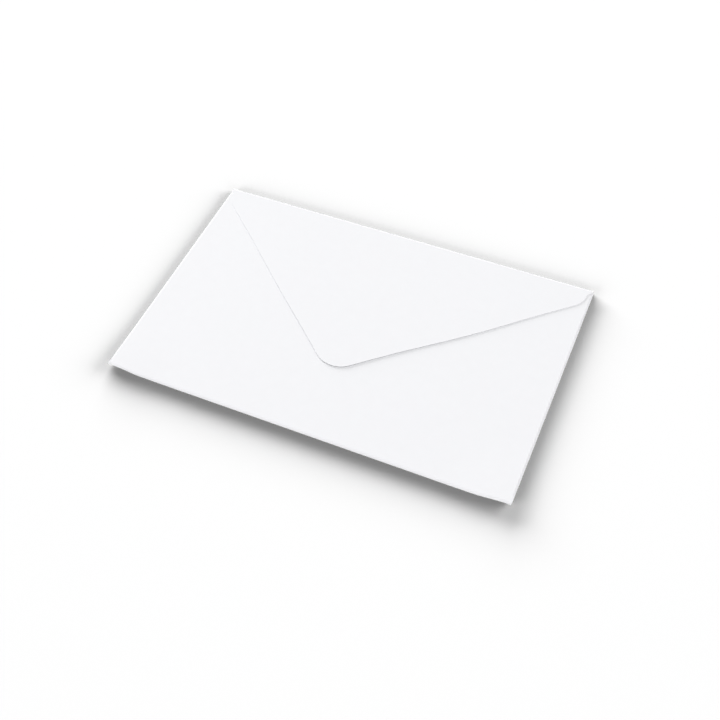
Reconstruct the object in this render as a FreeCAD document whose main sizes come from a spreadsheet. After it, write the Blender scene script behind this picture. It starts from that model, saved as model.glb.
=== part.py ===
import FreeCAD, Part
import math
import os
import Sketcher

# Visiting-card envelope, closed, lying flat with its flap side up.
# The whole envelope is one sheet of paper: a front panel, two side flaps folded in,
# a back panel folded up over them and glued to them, and a pointed seal flap folded down.
# X runs along the length, Y towards the top fold, Z up from the table; millimetres.
# The origin is the middle of the footprint, on the table.

sizes = [
    # the closed envelope
    ("length", 140.0, "side fold to side fold"),
    ("height", 90.0, "bottom fold to top fold"),
    ("paper", 0.15, "thickness of the sheet"),
    ("pocket_gap", 0.4, "front panel to side flaps, inside the pocket"),
    # seal flap
    ("flap_clearance", 0.1, "back panel to the flap that lies on it"),
    ("flap_depth", 62.7, "top fold to the tip of the flap"),
    ("flap_end_inset", 1.2, "side fold to the end of the flap's fold"),
    ("flap_spring", 0.5, "degrees by which the top fold opens by itself"),
    ("tip_radius", 8.7, "rounded tip"),
    ("shoulder_drop", 5.8, "top fold to where the slanted edge would meet the flap's end"),
    ("shoulder_radius", 6.0, "rounding of that corner"),
    # side flaps
    ("side_flap_width", 16.0, "side fold to the inner edge"),
    ("side_flap_taper", 6.0, "what each end loses from the fold to the inner edge"),
    ("side_flap_corner", 4.0, "rounding of the inner corners"),
    # back panel
    ("back_inset", 0.8, "side fold to the panel's side edge"),
    ("ear_drop", 3.5, "top fold to the top of the panel's two ears"),
    ("ear_length", 7.0, "straight top of each ear, its rounded corner included"),
    ("ear_corner", 3.0, "rounding of the outer corner"),
    ("throat_drop", 13.0, "top fold to the lowest point of the throat"),
]

doc = FreeCAD.newDocument("paper_envelope")
sheet = doc.addObject("Spreadsheet::Sheet", "sizes")
for row, (alias, size, meaning) in enumerate(sizes, start=1):
    sheet.set("A%d" % row, alias)
    sheet.set("B%d" % row, str(size))
    sheet.set("C%d" % row, meaning)
    sheet.setAlias("B%d" % row, alias)
doc.recompute()

body = doc.addObject("PartDesign::Body", "envelope")
body.Label = "envelope"
planes = {plane.Role: plane for plane in body.Origin.OriginFeatures}

# The inside of a fold is as high as what lies between its two panels.
side_inner = "(sizes.pocket_gap / 2)"
bottom_inner = "((sizes.pocket_gap + sizes.paper) / 2)"
top_inner = "((sizes.pocket_gap + 2 * sizes.paper + sizes.flap_clearance) / 2)"
side_outer = "(%s + sizes.paper)" % side_inner
bottom_outer = "(%s + sizes.paper)" % bottom_inner
top_outer = "(%s + sizes.paper)" % top_inner

# The flat panels start where the folds end.
panel_side = "(sizes.length / 2 - %s)" % side_outer
panel_bottom = "(sizes.height / 2 - %s)" % bottom_outer
panel_top = "(sizes.height / 2 - %s)" % top_outer
back_side = "(sizes.length / 2 - sizes.back_inset)"
flap_side = "(sizes.length / 2 - sizes.flap_end_inset)"

# Undersides of the layers that lie on each other.
side_flap_level = "(sizes.paper + sizes.pocket_gap)"
back_level = "(%s + sizes.paper)" % side_flap_level

# Names for the points of a sketch's pieces, and for the sketch's own axes.
start, end, centre = range(1, 4)
x_axis, y_axis = range(-1, -3, -1)
origin = (x_axis, start)
half_turn = 180


def value(expression):
    return float(body.evalExpression(expression))


def new_sketch(name, role, level=None):
    sketch = body.newObject("Sketcher::SketchObject", name)
    sketch.AttachmentSupport = [(planes[role], "")]
    sketch.MapMode = "FlatFace"
    if level:
        sketch.setExpression("AttachmentOffset.Base.z", level)
    return sketch


def constrain(sketch, kind, *where):
    return sketch.addConstraint(Sketcher.Constraint(kind, *where))


def drive(sketch, name, kind, *where_and_expression):
    """A dimension that follows the sheet."""
    where, expression = where_and_expression[:-1], where_and_expression[-1]
    size = value(expression)
    index = constrain(sketch, kind, *where, math.radians(size) if kind == "Angle" else size)
    sketch.renameConstraint(index, name)
    sketch.setExpression("Constraints." + name, expression)


def line(sketch, x1, y1, x2, y2):
    ends = FreeCAD.Vector(x1, y1, 0), FreeCAD.Vector(x2, y2, 0)
    return sketch.addGeometry(Part.LineSegment(*ends), False)


def arc(sketch, x, y, radius, first, last):
    circle = Part.Circle(FreeCAD.Vector(x, y, 0), FreeCAD.Vector(0, 0, 1), radius)
    return sketch.addGeometry(Part.ArcOfCircle(circle, math.radians(first), math.radians(last)), False)


def mark(sketch, x, y, *pieces):
    """A construction point that lies on each of the pieces."""
    spot = sketch.addGeometry(Part.Point(FreeCAD.Vector(x, y, 0)), True)
    for piece in pieces:
        constrain(sketch, "PointOnObject", spot, start, piece)
    return spot


def close_ring(sketch, ring):
    """Joins the pieces in turn; each is (piece, where it is entered, where it is left, smooth)."""
    for here, after in zip(ring, ring[1:] + ring[:1]):
        kind = "Tangent" if here[3] else "Coincident"
        constrain(sketch, kind, here[0], here[2], after[0], after[1])


def pad(name, sketch, length, other_side=None, both_sides=False):
    feature = body.newObject("PartDesign::Pad", name)
    feature.Profile = (sketch, [""])
    feature.setExpression("Length", length)
    if other_side:
        feature.SideType = "Two sides"
        feature.setExpression("Length2", other_side)
    if both_sides:
        feature.SideType = "Symmetric"
    body.Tip = feature
    doc.recompute()
    return feature


def fold_section(name, role, reach, inner, outer, first, last):
    """The half ring of a fold, whose centre lies `reach` from the origin and `outer` up."""
    sketch = new_sketch(name, role)
    leftwards = first > 0
    x = -value(reach) if leftwards else value(reach)
    y = value(outer)
    ring_in = arc(sketch, x, y, value(inner), first, last)
    ring_out = arc(sketch, x, y, value(outer), first, last)
    ends = []
    for angle in (first, last):
        across, up = math.cos(math.radians(angle)), math.sin(math.radians(angle))
        near, far = value(inner), value(outer)
        ends.append(line(sketch, x + near * across, y + near * up, x + far * across, y + far * up))
    close_ring(sketch, [
        (ring_out, start, end, False),
        (ends[1], end, start, False),
        (ring_in, end, start, False),
        (ends[0], start, end, False),
    ])
    constrain(sketch, "Coincident", ring_in, centre, ring_out, centre)
    for cut in ends:
        constrain(sketch, "PointOnObject", ring_in, centre, cut)
    drive(sketch, "inner", "Radius", ring_in, inner)
    drive(sketch, "outer", "Radius", ring_out, outer)
    if leftwards:
        drive(sketch, "reach", "DistanceX", ring_in, centre, *origin, reach)
    else:
        drive(sketch, "reach", "DistanceX", *origin, ring_in, centre, reach)
    drive(sketch, "rise", "DistanceY", *origin, ring_in, centre, outer)
    constrain(sketch, "Vertical", ends[0])
    return sketch, ends[1]


# Front panel, face down on the table: the rectangle that the folds leave flat.
front_outline = new_sketch("front_outline", "XY_Plane")
across, below, above = value(panel_side), -value(panel_bottom), value(panel_top)
bottom = line(front_outline, -across, below, across, below)
right = line(front_outline, across, below, across, above)
top = line(front_outline, across, above, -across, above)
left = line(front_outline, -across, above, -across, below)
close_ring(front_outline, [(piece, start, end, False) for piece in (bottom, right, top, left)])
constrain(front_outline, "Horizontal", top)
constrain(front_outline, "Vertical", right)
constrain(front_outline, "Vertical", left)
constrain(front_outline, "Symmetric", bottom, start, bottom, end, y_axis)
drive(front_outline, "side", "DistanceX", *origin, bottom, end, panel_side)
drive(front_outline, "bottom", "DistanceY", bottom, end, *origin, panel_bottom)
drive(front_outline, "top", "DistanceY", *origin, top, start, panel_top)
front_panel = pad("front_panel", front_outline, "sizes.paper")

# Right side fold and side flap, then the same on the left.
section, last_cut = fold_section(
    "side_fold_section", "XZ_Plane", panel_side, side_inner, side_outer, -half_turn / 2, half_turn / 2
)
constrain(section, "Vertical", last_cut)
side_fold = pad("side_fold", section, panel_bottom, other_side=panel_top)

side_outline = new_sketch("side_flap_outline", "XY_Plane", side_flap_level)
inner_side = "(sizes.length / 2 - sizes.side_flap_width)"
narrow_top = "(%s - sizes.side_flap_taper)" % panel_top
narrow_bottom = "(%s - sizes.side_flap_taper)" % panel_bottom
across, inward = value(panel_side), value(inner_side)
above, below = value(panel_top), -value(panel_bottom)
corner = value("sizes.side_flap_corner")
# direction of the slanted end, and how far the rounding reaches along the inner edge
slant = math.degrees(math.atan2(value("sizes.side_flap_taper"), across - inward))
reach = corner * math.tan(math.radians(half_turn / 2 - slant) / 2)
high, low = value(narrow_top) - reach, -value(narrow_bottom) + reach
near_x = inward + corner * (1 - math.sin(math.radians(slant)))
near_y = corner * math.cos(math.radians(slant))
fold_line = line(side_outline, across, below, across, above)
upper_end = line(side_outline, across, above, near_x, high + near_y)
upper_arc = arc(side_outline, inward + corner, high, corner, half_turn / 2 + slant, half_turn)
inner_edge = line(side_outline, inward, high, inward, low)
lower_arc = arc(side_outline, inward + corner, low, corner, half_turn, 1.5 * half_turn - slant)
lower_end = line(side_outline, near_x, low - near_y, across, below)
close_ring(side_outline, [
    (fold_line, start, end, False),
    (upper_end, start, end, True),
    (upper_arc, start, end, True),
    (inner_edge, start, end, True),
    (lower_arc, start, end, True),
    (lower_end, start, end, False),
])
constrain(side_outline, "Vertical", fold_line)
constrain(side_outline, "Vertical", inner_edge)
upper_corner = mark(side_outline, inward, value(narrow_top), upper_end, inner_edge)
lower_corner = mark(side_outline, inward, -value(narrow_bottom), lower_end, inner_edge)
drive(side_outline, "side", "DistanceX", *origin, fold_line, start, panel_side)
drive(side_outline, "bottom", "DistanceY", fold_line, start, *origin, panel_bottom)
drive(side_outline, "top", "DistanceY", *origin, fold_line, end, panel_top)
drive(side_outline, "inner", "DistanceX", *origin, inner_edge, start, inner_side)
drive(side_outline, "narrow_top", "DistanceY", *origin, upper_corner, start, narrow_top)
drive(side_outline, "narrow_bottom", "DistanceY", lower_corner, start, *origin, narrow_bottom)
drive(side_outline, "upper_round", "Radius", upper_arc, "sizes.side_flap_corner")
drive(side_outline, "lower_round", "Radius", lower_arc, "sizes.side_flap_corner")
side_flap = pad("side_flap", side_outline, "sizes.paper")

other_side = body.newObject("PartDesign::Mirrored", "left_side")
other_side.Originals = [side_fold, side_flap]
other_side.MirrorPlane = (planes["YZ_Plane"], [""])
body.Tip = other_side
doc.recompute()

# Bottom fold, and the back panel that it brings up over the side flaps.
section, last_cut = fold_section(
    "bottom_fold_section", "YZ_Plane", panel_bottom, bottom_inner, bottom_outer,
    half_turn / 2, 1.5 * half_turn,
)
constrain(section, "Vertical", last_cut)
pad("bottom_fold", section, "2 * " + back_side, both_sides=True)

back_outline = new_sketch("back_outline", "XY_Plane", back_level)
ear_top = "(sizes.height / 2 - sizes.ear_drop)"
ear_end = "(%s - sizes.ear_length)" % back_side
throat_low = "(sizes.height / 2 - sizes.throat_drop)"
across, below, above = value(back_side), -value(panel_bottom), value(ear_top)
corner, inward = value("sizes.ear_corner"), value(ear_end)
dip = above - value(throat_low)
throat_radius = (inward ** 2 + dip ** 2) / (2 * dip)
spread = math.degrees(math.asin(inward / throat_radius))
bottom = line(back_outline, -across, below, across, below)
right = line(back_outline, across, below, across, above - corner)
right_arc = arc(back_outline, across - corner, above - corner, corner, 0, half_turn / 2)
right_ear = line(back_outline, across - corner, above, inward, above)
throat = arc(
    back_outline, 0, above - dip + throat_radius, throat_radius,
    -half_turn / 2 - spread, -half_turn / 2 + spread,
)
left_ear = line(back_outline, -inward, above, -across + corner, above)
left_arc = arc(back_outline, -across + corner, above - corner, corner, half_turn / 2, half_turn)
left = line(back_outline, -across, above - corner, -across, below)
close_ring(back_outline, [
    (bottom, start, end, False),
    (right, start, end, True),
    (right_arc, start, end, True),
    (right_ear, start, end, False),
    (throat, end, start, False),
    (left_ear, start, end, True),
    (left_arc, start, end, True),
    (left, start, end, False),
])
for ear in (right_ear, left_ear):
    constrain(back_outline, "Horizontal", ear)
for side in (right, left):
    constrain(back_outline, "Vertical", side)
constrain(back_outline, "Symmetric", bottom, start, bottom, end, y_axis)
constrain(back_outline, "Symmetric", right_ear, end, left_ear, start, y_axis)
deepest = mark(back_outline, 0, value(throat_low), y_axis, throat)
drive(back_outline, "side", "DistanceX", *origin, bottom, end, back_side)
drive(back_outline, "bottom", "DistanceY", bottom, end, *origin, panel_bottom)
drive(back_outline, "ear_top", "DistanceY", *origin, right_ear, end, ear_top)
drive(back_outline, "ear_end", "DistanceX", *origin, right_ear, end, ear_end)
drive(back_outline, "throat", "DistanceY", *origin, deepest, start, throat_low)
drive(back_outline, "right_round", "Radius", right_arc, "sizes.ear_corner")
drive(back_outline, "left_round", "Radius", left_arc, "sizes.ear_corner")
pad("back_panel", back_outline, "sizes.paper")

# Top fold: it stops a little short of a half turn, so the seal flap rises towards its tip.
turn = half_turn / 2 - value("sizes.flap_spring")
section, last_cut = fold_section(
    "top_fold_section", "YZ_Plane", panel_top, top_inner, top_outer, -half_turn / 2, turn
)
drive(section, "turn", "Angle", last_cut, "(90 - sizes.flap_spring) * 1 deg")
pad("top_fold", section, "2 * " + flap_side, both_sides=True)

# Seal flap: its plane starts at the end of the top fold and leans with it.
flap_outline = new_sketch("flap_outline", "XY_Plane")
lean = "(sizes.flap_spring * 1 deg)"
flap_outline.AttachmentOffset = FreeCAD.Placement(
    FreeCAD.Vector(0, 0, 0), FreeCAD.Rotation(FreeCAD.Vector(-1, 0, 0), value(lean))
)
flap_outline.setExpression("AttachmentOffset.Rotation.Angle", lean)
flap_outline.setExpression("AttachmentOffset.Base.y", "%s + %s * sin(%s)" % (panel_top, top_inner, lean))
flap_outline.setExpression("AttachmentOffset.Base.z", "%s + %s * cos(%s)" % (top_outer, top_inner, lean))
shoulder = "(sizes.shoulder_drop - %s)" % top_outer
tip_centre = "(sizes.flap_depth - %s - sizes.tip_radius)" % top_outer
across, shoulder_y, tip_y = value(flap_side), -value(shoulder), -value(tip_centre)
tip_radius, corner = value("sizes.tip_radius"), value("sizes.shoulder_radius")
# slope of the slanted edge, which runs from the shoulder's corner and touches the tip's circle
span = math.hypot(across, shoulder_y - tip_y)
slope = math.degrees(math.atan2(shoulder_y - tip_y, across) + math.asin(tip_radius / span))
lean_x, lean_y = math.sin(math.radians(slope)), math.cos(math.radians(slope))
reach = corner * math.tan(math.radians(half_turn / 2 - slope) / 2)
bend_y = shoulder_y + reach
tip_end = tip_radius * lean_x, tip_y - tip_radius * lean_y
shoulder_end = across - corner + corner * lean_x, bend_y - corner * lean_y
downwards = -half_turn / 2
fold_line = line(flap_outline, -across, 0, across, 0)
right = line(flap_outline, across, 0, across, bend_y)
right_arc = arc(flap_outline, across - corner, bend_y, corner, downwards + slope, 0)
right_edge = line(flap_outline, *shoulder_end, *tip_end)
tip = arc(flap_outline, 0, tip_y, tip_radius, downwards - slope, downwards + slope)
left_edge = line(flap_outline, -tip_end[0], tip_end[1], -shoulder_end[0], shoulder_end[1])
left_arc = arc(flap_outline, corner - across, bend_y, corner, half_turn, 1.5 * half_turn - slope)
left = line(flap_outline, -across, bend_y, -across, 0)
close_ring(flap_outline, [
    (fold_line, start, end, False),
    (right, start, end, True),
    (right_arc, end, start, True),
    (right_edge, start, end, True),
    (tip, end, start, True),
    (left_edge, start, end, True),
    (left_arc, end, start, True),
    (left, start, end, False),
])
constrain(flap_outline, "PointOnObject", fold_line, start, x_axis)
constrain(flap_outline, "Symmetric", fold_line, start, fold_line, end, y_axis)
constrain(flap_outline, "Vertical", right)
constrain(flap_outline, "Vertical", left)
constrain(flap_outline, "PointOnObject", tip, centre, y_axis)
drive(flap_outline, "side", "DistanceX", *origin, fold_line, end, flap_side)
drive(flap_outline, "tip_centre", "DistanceY", tip, centre, *origin, tip_centre)
drive(flap_outline, "tip", "Radius", tip, "sizes.tip_radius")
for name, edge, side, rounding, x in (
    ("right", right_edge, right, right_arc, across),
    ("left", left_edge, left, left_arc, -across),
):
    corner_point = mark(flap_outline, x, shoulder_y, edge, side)
    drive(flap_outline, name + "_shoulder", "DistanceY", corner_point, start, *origin, shoulder)
    drive(flap_outline, name + "_round", "Radius", rounding, "sizes.shoulder_radius")
pad("seal_flap", flap_outline, "sizes.paper")

# The closed envelope is one solid; every feature has to have built.
doc.recompute()
for item in doc.Objects:
    if "Invalid" in item.State or "Error" in item.State:
        raise RuntimeError("%s did not build: %s" % (item.Name, item.State))
if body.Shape.isNull() or not body.Shape.isValid() or len(body.Shape.Solids) != 1:
    raise RuntimeError("the envelope is not one valid solid")

box = body.Shape.BoundBox
print("envelope %.2f x %.2f x %.2f mm" % (box.XLength, box.YLength, box.ZLength))
print("paper %.1f cm2" % (body.Shape.Volume / value("sizes.paper") / 100))

os.makedirs("parts", exist_ok=True)
body.Shape.exportStep("parts/%s.step" % body.Label)
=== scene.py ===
import math

import bmesh
import bpy
from mathutils import Matrix, Vector


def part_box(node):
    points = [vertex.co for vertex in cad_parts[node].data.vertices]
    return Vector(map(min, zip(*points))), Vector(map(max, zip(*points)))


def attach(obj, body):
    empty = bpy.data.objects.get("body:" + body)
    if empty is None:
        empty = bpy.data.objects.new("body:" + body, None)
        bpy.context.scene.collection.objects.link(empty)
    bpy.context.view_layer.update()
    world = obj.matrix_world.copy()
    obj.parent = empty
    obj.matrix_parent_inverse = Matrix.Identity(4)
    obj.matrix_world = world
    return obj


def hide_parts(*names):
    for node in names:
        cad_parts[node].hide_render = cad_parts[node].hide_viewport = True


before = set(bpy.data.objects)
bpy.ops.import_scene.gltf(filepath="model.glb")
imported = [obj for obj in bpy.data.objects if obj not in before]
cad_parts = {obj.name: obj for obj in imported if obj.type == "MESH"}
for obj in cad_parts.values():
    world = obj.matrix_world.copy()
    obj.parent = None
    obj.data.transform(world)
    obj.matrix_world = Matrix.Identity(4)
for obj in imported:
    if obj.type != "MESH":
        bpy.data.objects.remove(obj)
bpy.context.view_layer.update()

mm = 0.001
nearly = 0.02 * mm   # places this close count as the same
low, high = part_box("envelope")
length, height = high.x - low.x, high.y - low.y
print("frame loaded, envelope", round(length / mm, 1), "x", round(height / mm, 1), "mm")

bpy.context.scene.view_settings.view_transform = "Standard"


# selecting and editing in code, as by hand

def deselectAll():
    if bpy.context.object and bpy.context.object.mode != "OBJECT":
        bpy.ops.object.mode_set(mode="OBJECT")
    bpy.ops.object.select_all(action="DESELECT")


def choose(piece, wanted):   # in edit mode, the vertices whose (place, number) is wanted
    bpy.ops.mesh.select_all(action="DESELECT")
    work = bmesh.from_edit_mesh(piece.data)
    for vertex in work.verts:
        vertex.select = not vertex.hide and wanted(vertex.co, vertex.index)
    work.select_flush(True)
    bmesh.update_edit_mesh(piece.data)


def extend(*shifts):   # extrudes what is selected, once for each shift
    for shift in shifts:
        bpy.ops.mesh.extrude_region_move(TRANSFORM_OT_translate={"value": shift})


def squeeze(x, y, middle=(0, 0, 0)):
    bpy.ops.transform.resize(value=(x, y, 1), center_override=middle)


def pull(shift, reach):   # moves what is selected and, ever less, what lies within reach of it
    bpy.ops.transform.translate(
        value=shift, use_proportional_edit=True,
        proportional_edit_falloff="SMOOTH", proportional_size=reach)


def roundCorners(sheet, corner, reach, segments):
    choose(sheet, corner)
    bpy.ops.mesh.bevel(affect="VERTICES", offset=reach, segments=segments, profile=0.5)


# the flat blank, cut from one sheet
blank = {
    "paper": 0.15 * mm,
    "sideFoldRadius": 0.275 * mm,      # to the middle of the paper
    "bottomFoldRadius": 0.36 * mm,
    "topFoldRadius": 0.45 * mm,
    "flapTurn": 179.84,                # degrees; the flap springs open a little
    "foldSteps": 8,
    "sideFlapWidth": 15.7 * mm,
    "sideFlapTaper": 6.0 * mm,         # at each end
    "sideFlapCorner": 3.0 * mm,
    "cornerSteps": 6,                  # faces round each corner, the tip apart
    "backInset": 0.55 * mm,            # in from the envelope's side
    "backFoldInset": 0.1 * mm,         # less at the fold, so that no hole shows at the corner
    "backNarrows": 3.0 * mm,           # from the fold to the full inset
    "earDrop": 1.2 * mm,               # below the envelope's top edge
    "earCorner": 1.6 * mm,
    "throatDip": 11.8 * mm,            # below the ears
    "throatReach": 62.0 * mm,
    "throatMiddle": 3.0 * mm,          # each way from the middle, dips in full
    "throatCuts": 41,
    "flapInset": 1.8 * mm,             # as the back panel's own three
    "flapFoldInset": 0.15 * mm,
    "flapNarrows": 2.3 * mm,
    "flapDepth": 62.75 * mm,           # from the top edge to the tip
    "tipRadius": 8.7 * mm,
    "tipSteps": 18,
    "shoulderDrop": 6.3 * mm,          # below the top edge, where the shoulder's corner would be
    "shoulderRadius": 7.1 * mm,
    "cutPitch": 2.0 * mm,              # spacing of the sheet's own vertices
    "nearFold": (0.6 * mm, 1.2 * mm),  # extra rows beside each fold
    "sameCut": 0.002 * mm,             # a row this near to a vertex goes through it
    "samePoint": 0.02 * mm,            # vertices this near to each other become one
}


def stripWidth(radius, turn):   # how much of the flat sheet a fold takes up
    half = turn / blank["foldSteps"] / 2
    return 2 * radius * math.tan(half) * blank["foldSteps"]


paper = blank["paper"]
flapTurn = math.radians(blank["flapTurn"])
sideLine = length / 2 - blank["sideFoldRadius"] - paper / 2
bottomLine = -height / 2 + blank["bottomFoldRadius"] + paper / 2
topLine = height / 2 - blank["topFoldRadius"] - paper / 2
sideStrip = stripWidth(blank["sideFoldRadius"], math.pi)
bottomStrip = stripWidth(blank["bottomFoldRadius"], math.pi)
topStrip = stripWidth(blank["topFoldRadius"], flapTurn)
backEnd = bottomLine - bottomStrip - (height / 2 - blank["earDrop"] - bottomLine)

# the slanted edge runs from the shoulder's corner and touches the tip's circle
flapHalf = length / 2 - blank["flapInset"]
flapStart = topLine + topStrip
shoulderY = flapStart + blank["shoulderDrop"] - (height / 2 - topLine)
tipY = flapStart + blank["flapDepth"] - (height / 2 - topLine)
circleY = tipY - blank["tipRadius"]
run = math.hypot(flapHalf, circleY - shoulderY)
slope = math.atan2(circleY - shoulderY, flapHalf) + math.asin(blank["tipRadius"] / run)
pointY = shoulderY + flapHalf * math.tan(slope)


def growPanel(sheet, edge, strip, foldInset, narrows, half, end):
    # out of one edge: the fold's strip, a short part that narrows, then on to the end, which
    # lies that far past the strip; half is the panel's width each way from its middle
    way = math.copysign(1, strip)
    foldHalf = length / 2 - foldInset
    choose(sheet, edge)
    extend((0, strip, 0))
    squeeze(foldHalf / sideLine, 1)
    extend((0, way * narrows, 0))
    squeeze(half / foldHalf, 1)
    extend((0, end - way * narrows, 0))


def cutBlank():
    bpy.ops.mesh.primitive_plane_add(size=1)
    sheet = bpy.context.object
    sheet.name = sheet.data.name = "foldedEnvelope"
    bpy.ops.object.mode_set(mode="EDIT")
    bpy.context.tool_settings.mesh_select_mode = (True, False, False)
    squeeze(2 * sideLine, topLine - bottomLine)
    bpy.ops.transform.translate(value=(0, (topLine + bottomLine) / 2, paper / 2))

    # back panel, below the bottom fold, with the throat between its ears
    backHalf = length / 2 - blank["backInset"]
    growPanel(
        sheet, lambda place, n: place.y < 0, -bottomStrip, blank["backFoldInset"],
        blank["backNarrows"], backHalf, backEnd - (bottomLine - bottomStrip))
    roundCorners(
        sheet, lambda place, n: place.y < backEnd + nearly, blank["earCorner"], blank["cornerSteps"])
    ear = backHalf - blank["earCorner"]
    choose(sheet, lambda place, n: place.y < backEnd + nearly and abs(place.x) < ear + nearly)
    bpy.ops.mesh.subdivide(number_cuts=blank["throatCuts"])
    middle = blank["throatMiddle"]
    choose(sheet, lambda place, n: place.y < backEnd + nearly and abs(place.x) < middle)
    pull((0, blank["throatDip"], 0), blank["throatReach"])

    # side flaps
    panel = topLine - bottomLine
    for side in (1, -1):
        choose(
            sheet,
            lambda place, n: place.x * side > sideLine - nearly and place.y > bottomLine - nearly)
        extend((side * sideStrip, 0, 0), (side * blank["sideFlapWidth"], 0, 0))
        squeeze(1, 1 - 2 * blank["sideFlapTaper"] / panel, (0, (topLine + bottomLine) / 2, 0))
        edge = sideLine + sideStrip + blank["sideFlapWidth"]
        roundCorners(
            sheet, lambda place, n: place.x * side > edge - nearly,
            blank["sideFlapCorner"], blank["cornerSteps"])

    # seal flap, above the top fold: down to its shoulders, then to a point, then rounded
    growPanel(
        sheet, lambda place, n: place.y > topLine - nearly and abs(place.x) < sideLine + nearly,
        topStrip, blank["flapFoldInset"], blank["flapNarrows"], flapHalf, shoulderY - flapStart)
    extend((0, pointY - shoulderY, 0))
    bpy.ops.mesh.merge(type="CENTER")
    roundCorners(
        sheet, lambda place, n: place.y > pointY - nearly,
        blank["tipRadius"] * math.tan(slope), blank["tipSteps"])
    turn = math.pi / 2 - slope
    roundCorners(
        sheet, lambda place, n: abs(place.y - shoulderY) < nearly and abs(place.x) > flapHalf - nearly,
        blank["shoulderRadius"] * math.tan(turn / 2), blank["cornerSteps"])
    return sheet


def sliceBlank(sheet):
    # even rows over the whole sheet, close rows along the folds
    def rows(first, last):
        count = max(1, round((last - first) / blank["cutPitch"]))
        return [first + (last - first) * k / count for k in range(count + 1)]

    def foldRows(start, away, strip):
        inside = [start + away * strip * k / blank["foldSteps"] for k in range(blank["foldSteps"] + 1)]
        beside = [start - away * gap for gap in blank["nearFold"]]
        beyond = [start + away * (strip + gap) for gap in blank["nearFold"]]
        return inside + beside + beyond

    across = rows(-sideLine, sideLine)
    flapLine = sideLine + sideStrip
    for side in (1, -1):
        across += rows(*sorted((side * flapLine, side * (flapLine + blank["sideFlapWidth"]))))
        across += foldRows(side * sideLine, side, sideStrip)
    along = rows(backEnd, bottomLine - bottomStrip) + rows(bottomLine, topLine) + rows(flapStart, tipY)
    along += foldRows(bottomLine, -1, bottomStrip) + foldRows(topLine, 1, topStrip)
    for stations, normal in ((across, Vector((1, 0, 0))), (along, Vector((0, 1, 0)))):
        for station in sorted(set(round(s, 7) for s in stations)):   # a shared row only once
            bpy.ops.mesh.select_all(action="SELECT")
            bpy.ops.mesh.bisect(plane_co=normal * station, plane_no=normal, threshold=blank["sameCut"])
    bpy.ops.mesh.select_all(action="SELECT")
    bpy.ops.mesh.remove_doubles(threshold=blank["samePoint"])


deselectAll()
sheet = cutBlank()
sliceBlank(sheet)
bpy.ops.object.mode_set(mode="OBJECT")
print("blank cut,", len(sheet.data.vertices), "vertices,",
      round(sum(face.area for face in sheet.data.polygons) * 1e4, 1), "cm2")

# the paper keeps its own flat coordinates, so its grain runs on over the folds
flat = [vertex.co.copy() for vertex in sheet.data.vertices]
uvPerMetre = 10        # one unit of the layer is 100 mm
uvStart = (1, 2)       # keeps the whole sheet above zero
uvLayer = sheet.data.uv_layers.new(name="flatSheet")
for loop in sheet.data.loops:
    place = flat[loop.vertex_index]
    uvLayer.data[loop.index].uv = (place.x * uvPerMetre + uvStart[0], place.y * uvPerMetre + uvStart[1])


def distanceToFold(place):
    return min(
        abs(abs(place.x) - sideLine - sideStrip / 2),
        abs(place.y - bottomLine + bottomStrip / 2),
        abs(place.y - topLine - topStrip / 2))


creaseReach = 1.5 * mm
crease = sheet.data.attributes.new(name="crease", type="FLOAT", domain="POINT")
crease.data.foreach_set("value", [max(0, 1 - distanceToFold(place) / creaseReach) for place in flat])


def foldOver(sheet, beyond, line, strip, turn, axis, lift):
    # a small turn at each row of the strip, from the far row inwards, so that every hinge is
    # still where it was cut; beyond tells which flat places lie past a hinge
    steps = blank["foldSteps"]
    for k in range(steps, -1, -1):
        hinge = line + strip * k / steps
        part = turn / steps * (0.5 if k in (0, steps) else 1)
        choose(sheet, lambda place, n: beyond(flat[n], hinge))
        middle = (hinge, 0, paper / 2) if axis == "Y" else (0, hinge, paper / 2)
        bpy.ops.transform.rotate(
            value=lift * part, orient_axis=axis, orient_type="GLOBAL", center_override=middle)


def onSheetRow(place):   # the middle part of the blank, which the side flaps hang on
    return bottomLine - nearly < place.y < topLine + nearly


bpy.ops.object.mode_set(mode="EDIT")
for side in (1, -1):
    foldOver(sheet, lambda place, hinge: onSheetRow(place) and place.x * side > hinge * side + nearly,
             side * sideLine, side * sideStrip, math.pi, "Y", side)
foldOver(sheet, lambda place, hinge: place.y < hinge - nearly and place.y < bottomLine - nearly,
         bottomLine, -bottomStrip, math.pi, "X", 1)
foldOver(sheet, lambda place, hinge: place.y > hinge + nearly and place.y > topLine + nearly,
         topLine, topStrip, flapTurn, "X", -1)
bpy.ops.object.mode_set(mode="OBJECT")
print("folded,", [round(v / mm, 2) for v in sheet.dimensions])

# how the folded sheet has relaxed
relaxed = {
    "pocketPuff": (0.18 * mm, 60 * mm),   # height, how far out it fades
    "puffWidth": 30 * mm,                 # each way from the middle, rises in full
    "puffRows": (-20 * mm, 10 * mm),
    "tipDrift": (-0.75 * mm, 50 * mm),    # sideways, how far up it fades
    "edgeBow": {1: (0.5 * mm, 0.55), -1: (0.38 * mm, 0.5)},   # how much, how far out along the edge
    "bowReach": 26 * mm,
    "grip": 3 * mm,                       # what is pulled in full at the tip and on the edges
    "cornerLift": (0.25 * mm, 20 * mm),   # height, how far in it fades
    "cornerPull": (0.6 * mm, 10 * mm),    # up the sheet
    "cornerGrip": 2 * mm,
}


def isFlatFront(place):
    return abs(place.x) < sideLine + nearly and onSheetRow(place)


bpy.ops.object.mode_set(mode="EDIT")
# the pocket stands open a little; the front panel stays flat on the table
choose(sheet, lambda place, n: isFlatFront(flat[n]))
bpy.ops.mesh.hide(unselected=False)
puff, puffReach = relaxed["pocketPuff"]
lowRow, highRow = relaxed["puffRows"]
choose(sheet, lambda place, n: abs(place.x) < relaxed["puffWidth"] and lowRow < place.y < highRow)
pull((0, 0, puff), puffReach)
bpy.ops.mesh.reveal(select=False)
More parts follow.
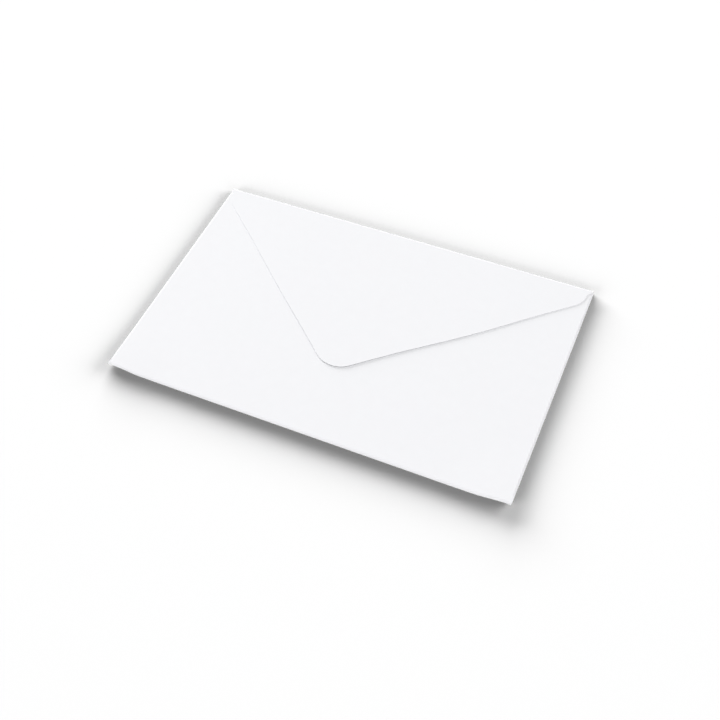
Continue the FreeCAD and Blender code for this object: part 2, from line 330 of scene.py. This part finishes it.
# the flap's tip has drifted a little to one side
drift, driftReach = relaxed["tipDrift"]
choose(sheet, lambda place, n: flat[n].y < topLine + nearly)
bpy.ops.mesh.hide(unselected=False)
choose(sheet, lambda place, n: flat[n].y > tipY - relaxed["grip"])
pull((drift, 0, 0), driftReach)
# and its slanted edges stand out a little between their ends
for side, (bow, out) in relaxed["edgeBow"].items():
    middle = Vector((side * flapHalf * out, pointY + (shoulderY - pointY) * out))
    choose(sheet, lambda place, n: (flat[n].xy - middle).length < relaxed["grip"])
    pull((side * bow * math.sin(slope), -bow * math.cos(slope), 0), relaxed["bowReach"])
bpy.ops.mesh.reveal(select=False)
# the bottom corners curl up off the table and draw in
cornerX, cornerY = length / 2 - relaxed["cornerGrip"], -height / 2 + relaxed["cornerGrip"]
lift, liftReach = relaxed["cornerLift"]
drawIn, drawInReach = relaxed["cornerPull"]
for side in (1, -1):
    choose(sheet, lambda place, n: place.x * side > cornerX and place.y < cornerY)
    pull((0, 0, lift), liftReach)
    pull((0, drawIn, 0), drawInReach)
bpy.ops.object.mode_set(mode="OBJECT")
print("relaxed,", [round(v / mm, 2) for v in sheet.dimensions])


# paper
paperLook = {
    "colour": (0.872, 0.874, 0.893),   # bright white with a cool tint
    "cloudiness": 0.010,
    "toothHeight": 0.010 * mm,
    "edgeColour": (0.84, 0.842, 0.856),
    "edgeCloudiness": 0.030,
    "edgeToothHeight": 0.020 * mm,
    "roughness": 0.68,
    "specular": 0.35,
    "toneSwing": 4.0,
    "cloudShare": 0.7,                 # of the tone; fibres make up the rest
    "toothShare": 0.6,                 # of the height; fibres make up the rest
    "creaseWear": 0.03,                # how much lighter the fibres are along a fold
    "smoothBelow": 40,                 # degrees between two faces
}
# scale and detail on millimetres, stretch and turn
paperNoise = {
    "clouds": (0.28, 4, (1, 1, 1), 0.0),           # the sheet's formation, 3 to 4 mm
    "fibresAlong": (1.0, 2, (0.5, 6, 1), 0.3),     # fibres a few millimetres long
    "fibresAcross": (1.0, 2, (5, 0.6, 1), -0.5),
    "tooth": (5.0, 3, (1, 1, 1), 0.0),
}
noiseRoughness = 0.55


def newGroup(name, inputs, outputs):
    group = bpy.data.node_groups.new(name, "ShaderNodeTree")
    for label, kind, value in inputs:
        socket = group.interface.new_socket(name=label, in_out="INPUT", socket_type=kind)
        socket.default_value = value
    for label, kind in outputs:
        group.interface.new_socket(name=label, in_out="OUTPUT", socket_type=kind)
    return group, group.nodes.new("NodeGroupInput"), group.nodes.new("NodeGroupOutput")


def addNode(tree, kind, **settings):
    node = tree.nodes.new(kind)
    for key, value in settings.items():
        setattr(node, key, value)
    return node


def fillIn(node, **values):
    for label, value in values.items():
        node.inputs[label].default_value = value
    return node


def makePaperGrain():
    # Position is in millimetres on the flat sheet
    group, given, result = newGroup(
        "paperGrain",
        [("Position", "NodeSocketVector", (0, 0, 0)),
         ("Cloudiness", "NodeSocketFloat", paperLook["cloudiness"]), ("Crease", "NodeSocketFloat", 0.0)],
        [("Tone", "NodeSocketFloat"), ("Height", "NodeSocketFloat")])
    link = group.links.new

    def noise(name):
        scale, detail, stretch, turn = paperNoise[name]
        mapping = addNode(group, "ShaderNodeMapping", label=name)
        fillIn(mapping, Scale=stretch, Rotation=(0, 0, turn))
        texture = addNode(group, "ShaderNodeTexNoise", label=name)
        fillIn(texture, Scale=scale, Detail=detail, Roughness=noiseRoughness)
        link(given.outputs["Position"], mapping.inputs["Vector"])
        link(mapping.outputs["Vector"], texture.inputs["Vector"])
        return texture.outputs["Fac"]

    def maths(operation, first, second):
        node = addNode(group, "ShaderNodeMath", operation=operation)
        for socket, value in zip(node.inputs, (first, second)):
            if isinstance(value, (int, float)):
                socket.default_value = value
            else:
                link(value, socket)
        return node.outputs["Value"]

    def mix(first, second, share):   # that share of the first, the rest of the second
        return maths("ADD", maths("MULTIPLY", first, share), maths("MULTIPLY", second, 1 - share))

    # every noise runs from 0 to 1 about a middle of 0.5, and a tone of 1 leaves the colour as it is
    clouds = noise("clouds")
    fibres = maths("MULTIPLY", maths("ADD", noise("fibresAlong"), noise("fibresAcross")), 0.5)
    mixed = mix(clouds, fibres, paperLook["cloudShare"])
    swing = maths("MULTIPLY", maths("SUBTRACT", mixed, 0.5), given.outputs["Cloudiness"])
    worn = maths("MULTIPLY", given.outputs["Crease"], maths("MULTIPLY", fibres, paperLook["creaseWear"]))
    tone = maths("ADD", maths("ADD", maths("MULTIPLY", swing, paperLook["toneSwing"]), 1.0), worn)
    link(tone, result.inputs["Tone"])
    link(mix(noise("tooth"), fibres, paperLook["toothShare"]), result.inputs["Height"])
    return group


paperGrain = makePaperGrain()


def makePaper(name, colour, cloudiness, toothHeight):
    material = bpy.data.materials.new(name)
    material.use_nodes = True
    tree = material.node_tree
    link = tree.links.new
    shader = tree.nodes["Principled BSDF"]
    fillIn(shader, **{"Roughness": paperLook["roughness"], "Specular IOR Level": paperLook["specular"]})
    flatSheet = addNode(tree, "ShaderNodeUVMap", uv_map="flatSheet")
    toMillimetres = fillIn(addNode(tree, "ShaderNodeMapping"), Scale=[1 / (uvPerMetre * mm)] * 3)
    creased = addNode(tree, "ShaderNodeAttribute", attribute_name="crease")
    grain = fillIn(addNode(tree, "ShaderNodeGroup", node_tree=paperGrain), Cloudiness=cloudiness)
    tint = fillIn(addNode(tree, "ShaderNodeVectorMath", operation="SCALE"), Vector=colour)
    bump = fillIn(addNode(tree, "ShaderNodeBump"), Strength=1.0, Distance=toothHeight)
    link(flatSheet.outputs["UV"], toMillimetres.inputs["Vector"])
    link(toMillimetres.outputs["Vector"], grain.inputs["Position"])
    link(creased.outputs["Fac"], grain.inputs["Crease"])
    link(grain.outputs["Tone"], tint.inputs["Scale"])
    link(tint.outputs["Vector"], shader.inputs["Base Color"])
    link(grain.outputs["Height"], bump.inputs["Height"])
    link(bump.outputs["Normal"], shader.inputs["Normal"])
    return material


sheet.data.materials.append(makePaper(
    "whitePaper", paperLook["colour"], paperLook["cloudiness"], paperLook["toothHeight"]))
sheet.data.materials.append(makePaper(
    "cutPaperEdge", paperLook["edgeColour"], paperLook["edgeCloudiness"], paperLook["edgeToothHeight"]))

thickness = sheet.modifiers.new("paperThickness", "SOLIDIFY")
thickness.thickness = paper
thickness.offset = 0                # the same on both sides of the folded sheet
thickness.material_offset_rim = 1   # the second material, on the cut edges
deselectAll()
sheet.select_set(True)
bpy.context.view_layer.objects.active = sheet
bpy.ops.object.modifier_apply(modifier=thickness.name)
bpy.ops.object.shade_smooth_by_angle(angle=math.radians(paperLook["smoothBelow"]))
levels = [vertex.co.z / mm for vertex in sheet.data.vertices]
print("paper thickness added,", len(sheet.data.polygons), "faces, from",
      round(min(levels), 3), "to", round(max(levels), 3), "mm above the table")

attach(sheet, "root")
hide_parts("envelope")


# the table top and the lights; each lamp shines on the paper or on the table alone, and the
# table is dark under strong lamps and so comes out pale, with deep shadows
setting = {
    "tableSize": 6.0,
    "tableColour": (0.03, 0.03, 0.03, 1),
    "tableRoughness": 0.9,
    "ambient": 0.50,   # even light from all round
}
# where a lamp stands as seen from the envelope, rise in degrees, the rest in metres; share is
# the brightness that it gives to a level white surface, where 1 is full white
lamps = {
    "paperWindow": {"on": "paper", "towards": (-0.84, 0.54), "rise": 12,
                    "away": 12.0, "size": (6.4, 4.4), "share": 0.25},
    "paperSky": {"on": "paper", "towards": (0.2, 0.36), "rise": 68,
                 "away": 2.0, "size": (2.4, 2.4), "share": 0.378},
    "paperFront": {"on": "paper", "towards": (0.6, -0.8), "rise": 6,
                   "away": 3.0, "size": (6.0, 0.5), "share": 0.09},
    "tableWindow": {"on": "table", "towards": (-0.65, 0.76), "rise": 5.4,
                    "away": 30.0, "size": (30.0, 3.6), "share": 19.4},
    "tableBack": {"on": "table", "towards": (0.77, 0.64), "rise": 7.5,
                  "away": 30.0, "size": (30.0, 5.0), "share": 10.8},
    "tableLeft": {"on": "table", "towards": (-0.57, -0.82), "rise": 9,
                  "away": 30.0, "size": (24.0, 6.0), "share": 5.2},
    "tableRight": {"on": "table", "towards": (0.77, -0.64), "rise": 9,
                   "away": 30.0, "size": (24.0, 6.0), "share": 2.4},
}

deselectAll()
bpy.ops.mesh.primitive_plane_add(size=setting["tableSize"])
tableTop = bpy.context.object
tableTop.name = "tableTop"
tableFinish = bpy.data.materials.new("mattTable")
tableFinish.use_nodes = True
fillIn(tableFinish.node_tree.nodes["Principled BSDF"],
       **{"Base Color": setting["tableColour"], "Roughness": setting["tableRoughness"],
          "Specular IOR Level": 0.0})
tableTop.data.materials.append(tableFinish)

world = bpy.data.worlds.new("softRoom")
world.use_nodes = True
fillIn(world.node_tree.nodes["Background"], Color=(1, 1, 1, 1), Strength=setting["ambient"])
bpy.context.scene.world = world

lit = {}   # what each kind of lamp shines on
for name, piece in (("paper", sheet), ("table", tableTop)):
    lit[name] = bpy.data.collections.new(name + "Lit")
    lit[name].objects.link(piece)
for name, lamp in lamps.items():
    rise = math.radians(lamp["rise"])
    away = Vector((*lamp["towards"], 0)).normalized() * math.cos(rise) + Vector((0, 0, math.sin(rise)))
    bpy.ops.object.light_add(type="AREA", location=away * lamp["away"])
    light = bpy.context.object
    light.name = name
    light.rotation_euler = away.to_track_quat("Z", "Y").to_euler()
    light.data.shape = "RECTANGLE"
    light.data.size, light.data.size_y = lamp["size"]
    light.data.energy = lamp["share"] * (math.pi * lamp["away"]) ** 2 / math.sin(rise)
    light.light_linking.receiver_collection = lit[lamp["on"]]
    light.visible_camera = False
print("table and", len(lamps), "lamps set")

# the photograph's viewing angle, in degrees
viewFrom = {
    "azimuth": 26.37,
    "elevation": 52.77,
    "roll": -3.56,
    "distance": 333.5 * mm,
    "target": (7.09 * mm, -11.79 * mm, 0.6 * mm),
    "lens": 50.67,
    "nearest": 10 * mm,
}
turned = (Matrix.Rotation(math.radians(viewFrom["azimuth"]), 3, "Z")
          @ Matrix.Rotation(math.radians(90 - viewFrom["elevation"]), 3, "X")
          @ Matrix.Rotation(math.radians(viewFrom["roll"]), 3, "Z"))
place = Vector(viewFrom["target"]) + turned @ Vector((0, 0, viewFrom["distance"]))
bpy.ops.object.camera_add(location=place, rotation=turned.to_euler())
camera = bpy.context.object
camera.data.lens = viewFrom["lens"]
camera.data.clip_start = viewFrom["nearest"]
bpy.context.scene.camera = camera
print("camera set")
